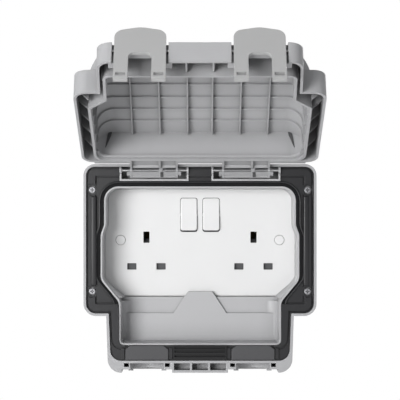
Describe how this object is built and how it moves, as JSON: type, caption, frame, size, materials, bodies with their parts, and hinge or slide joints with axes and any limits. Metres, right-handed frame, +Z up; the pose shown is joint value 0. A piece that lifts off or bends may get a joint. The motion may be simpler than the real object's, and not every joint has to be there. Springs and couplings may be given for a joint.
{
  "type": "surface mounted socket",
  "caption": "Weatherproof surface box with a switched twin socket outlet under a hinged hood, held shut by two swinging clips.",
  "frame": {"origin": "centre of the wall face of the box", "axes": "+Y into the wall, +Z up, +X to the right as seen from the front"},
  "size_m": [0.1762, 0.2011, 0.2433],
  "materials": {
    "box_grey": "fine moulded texture",
    "frame_grey": "satin moulded",
    "lid_grey": "fine moulded texture",
    "clip_grey": "satin moulded",
    "seal_black": "matt moulded rubber",
    "flap_rubber": "matt rubber",
    "plate_white": "smooth gloss",
    "rocker_white": "smooth gloss",
    "base_moulding": "plain moulded",
    "contact_brass": "pressed strip",
    "screw_steel": "bright zinc plate",
    "pin_steel": "drawn",
    "spring_steel": "drawn",
    "shutter_grey": "plain moulded"
  },
  "bodies": {
    "base": {"back_box": "box_grey", "front_frame": "frame_grey", "seal_frame": "seal_black", "cover_screws": "screw_steel", "cable_flap_left": "flap_rubber", "cable_flap_right": "flap_rubber", "centre_seal_strip": "seal_black", "socket_plate": "plate_white", "socket_base": "base_moulding", "neutral_bar": "contact_brass", "earth_bar": "contact_brass", "live_contact_left": "contact_brass", "live_contact_right": "contact_brass", "supply_bar": "contact_brass", "terminal_screws": "contact_brass", "plate_screws": "screw_steel", "screw_cap_left": "plate_white", "screw_cap_right": "plate_white", "shutter_spring_left": "spring_steel", "shutter_spring_right": "spring_steel", "hinge_pin_left": "pin_steel", "hinge_pin_right": "pin_steel", "entry_plug_left": "box_grey", "entry_plug_right": "box_grey"},
    "lid_body": {"lid": "lid_grey", "clip_pin_left": "pin_steel", "clip_pin_right": "pin_steel"},
    "clip_left_body": {"lid_clip_left": "clip_grey"},
    "clip_right_body": {"lid_clip_right": "clip_grey"},
    "rocker_left_body": {"rocker_left": "rocker_white", "switch_contact_left": "contact_brass"},
    "rocker_right_body": {"rocker_right": "rocker_white", "switch_contact_right": "contact_brass"},
    "shutter_left_body": {"shutter_left": "shutter_grey"},
    "shutter_right_body": {"shutter_right": "shutter_grey"}
  },
  "joints": [
    {"name": "lid_hinge", "type": "hinge", "parent": "base", "child": "lid_body", "pos_m": [0, -0.056, 0.073], "axis": [1, 0, 0], "range_deg": [0, 117]},
    {"name": "clip_left_pivot", "type": "hinge", "parent": "lid_body", "child": "clip_left_body", "pos_m": [-0.0395, -0.18386, 0.14937], "axis": [1, 0, 0], "range_deg": [0, 7]},
    {"name": "clip_right_pivot", "type": "hinge", "parent": "lid_body", "child": "clip_right_body", "pos_m": [0.0395, -0.18386, 0.14937], "axis": [1, 0, 0], "range_deg": [0, 7]},
    {"name": "rocker_left_pivot", "type": "hinge", "parent": "base", "child": "rocker_left_body", "pos_m": [-0.0085, -0.027, 0.0396], "axis": [1, 0, 0], "range_deg": [0, 11]},
    {"name": "rocker_right_pivot", "type": "hinge", "parent": "base", "child": "rocker_right_body", "pos_m": [0.0085, -0.027, 0.0396], "axis": [1, 0, 0], "range_deg": [0, 11]},
    {"name": "shutter_left_slide", "type": "slide", "parent": "base", "child": "shutter_left_body", "axis": [0, 0, -1], "range_m": [0, 0.006], "stiffness_N_per_m": 40, "springref_m": -0.004, "deforming": ["shutter_spring_left"]},
    {"name": "shutter_right_slide", "type": "slide", "parent": "base", "child": "shutter_right_body", "axis": [0, 0, -1], "range_m": [0, 0.006], "stiffness_N_per_m": 40, "springref_m": -0.004, "deforming": ["shutter_spring_right"]}
  ]
}
